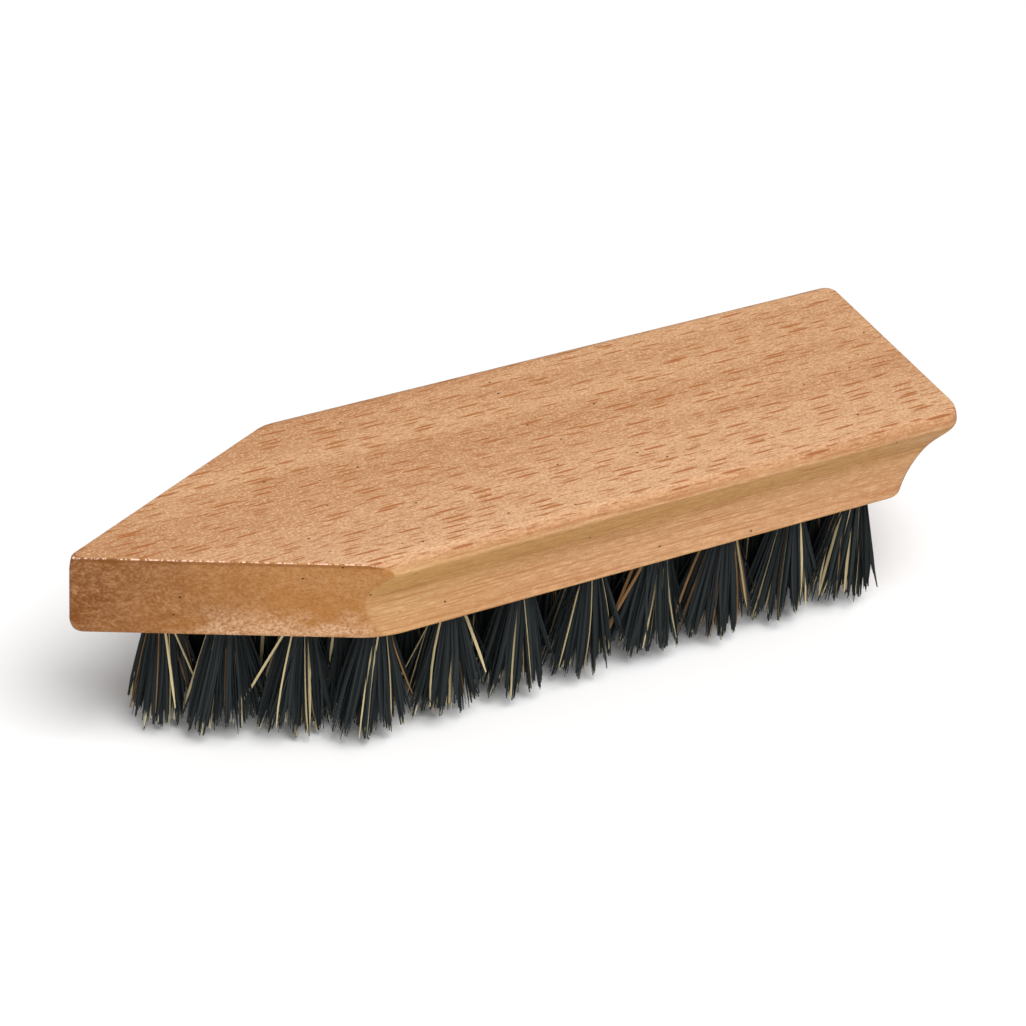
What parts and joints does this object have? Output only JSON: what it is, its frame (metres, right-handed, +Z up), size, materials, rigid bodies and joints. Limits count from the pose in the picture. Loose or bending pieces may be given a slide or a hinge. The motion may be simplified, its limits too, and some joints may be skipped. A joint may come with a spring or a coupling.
{
  "type": "clothes brush",
  "caption": "Pointed wooden hand brush with a shallow finger cove along each long side, an undercut rear end and five lines of tufts of stiff dark plant fibre.",
  "frame": {"origin": "on the plane of the bristle tips, under the middle of the block", "axes": "-X towards the pointed nose, +X towards the undercut rear end, +Y towards one long side, +Z up, out of the flat top of the block"},
  "size_m": [0.164, 0.047, 0.0408],
  "materials": {
    "beech": "sanded, waxed, satin",
    "bristle": "stiff plant fibre, satin",
    "staple_wire": "drawn flat wire"
  },
  "bodies": {
    "root": {"block": "beech", "tuft_outer_1_near": "bristle", "tuft_outer_1_far": "bristle", "tuft_outer_2_near": "bristle", "tuft_outer_2_far": "bristle", "tuft_outer_3_near": "bristle", "tuft_outer_3_far": "bristle", "tuft_outer_4_near": "bristle", "tuft_outer_4_far": "bristle", "tuft_outer_5_near": "bristle", "tuft_outer_5_far": "bristle", "tuft_outer_6_near": "bristle", "tuft_outer_6_far": "bristle", "tuft_outer_7_near": "bristle", "tuft_outer_7_far": "bristle", "tuft_outer_8_near": "bristle", "tuft_outer_8_far": "bristle", "tuft_inner_1_near": "bristle", "tuft_inner_1_far": "bristle", "tuft_inner_2_near": "bristle", "tuft_inner_2_far": "bristle", "tuft_inner_3_near": "bristle", "tuft_inner_3_far": "bristle", "tuft_inner_4_near": "bristle", "tuft_inner_4_far": "bristle", "tuft_inner_5_near": "bristle", "tuft_inner_5_far": "bristle", "tuft_inner_6_near": "bristle", "tuft_inner_6_far": "bristle", "tuft_inner_7_near": "bristle", "tuft_inner_7_far": "bristle", "tuft_inner_8_near": "bristle", "tuft_inner_8_far": "bristle", "tuft_centre_1": "bristle", "tuft_centre_2": "bristle", "tuft_centre_3": "bristle", "tuft_centre_4": "bristle", "tuft_centre_5": "bristle", "tuft_centre_6": "bristle", "tuft_centre_7": "bristle", "tuft_centre_8": "bristle", "tuft_centre_9": "bristle", "tuft_nose_1": "bristle", "tuft_nose_2_near": "bristle", "tuft_nose_2_far": "bristle", "tuft_nose_3_near": "bristle", "tuft_nose_3_far": "bristle"}
  },
  "joints": []
}
